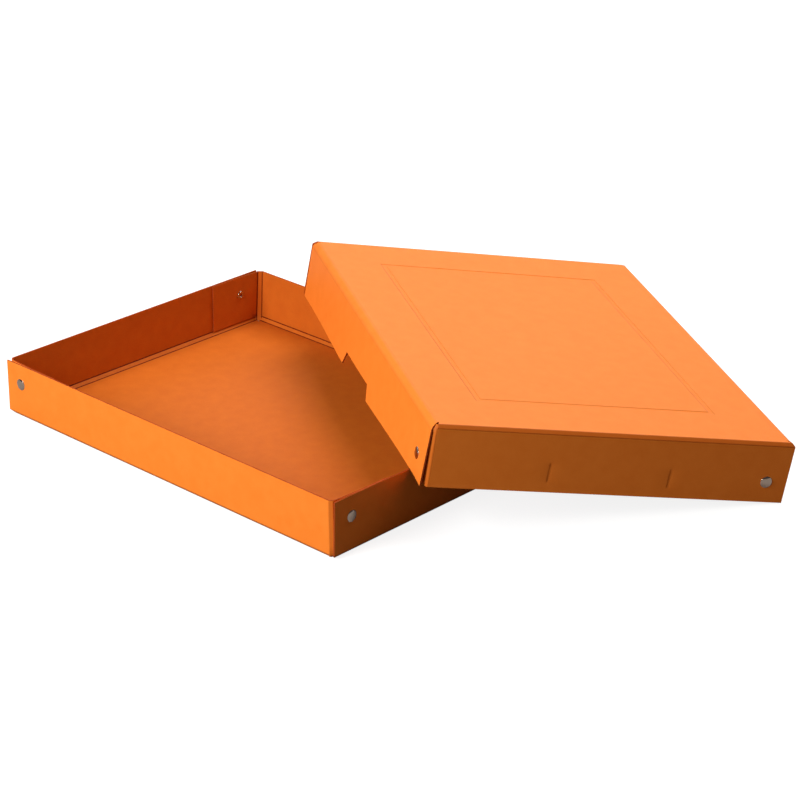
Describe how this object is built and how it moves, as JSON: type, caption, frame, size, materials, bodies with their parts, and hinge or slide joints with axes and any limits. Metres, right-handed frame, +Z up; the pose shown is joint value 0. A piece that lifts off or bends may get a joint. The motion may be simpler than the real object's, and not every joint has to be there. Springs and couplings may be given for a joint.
{
  "type": "document box",
  "caption": "Shallow document box of pressed board: an open tray with riveted corners and a separate lift-off lid, which leans on the tray.",
  "frame": {"origin": "centre of the tray's flat underside, on the surface that it stands on", "axes": "+X along the tray's long side, +Y along its short side, +Z up, out of the tray's open side"},
  "size_m": [0.4686, 0.4354, 0.0847],
  "materials": {
    "board": "matte",
    "rivet_steel": "nickel plated"
  },
  "bodies": {
    "tray": {"tray_board": "board", "tray_rivet_front": "rivet_steel", "tray_rivet_right": "rivet_steel", "tray_rivet_back": "rivet_steel", "tray_rivet_left": "rivet_steel"},
    "lid": {"lid_board": "board", "lid_rivet_left": "rivet_steel", "lid_rivet_back": "rivet_steel", "lid_rivet_right": "rivet_steel", "lid_rivet_front": "rivet_steel"}
  },
  "joints": [
    {"name": "lid_lift", "type": "slide", "parent": "tray", "child": "lid", "axis": [0, 0, 1], "range_m": [0, 0.08]}
  ]
}
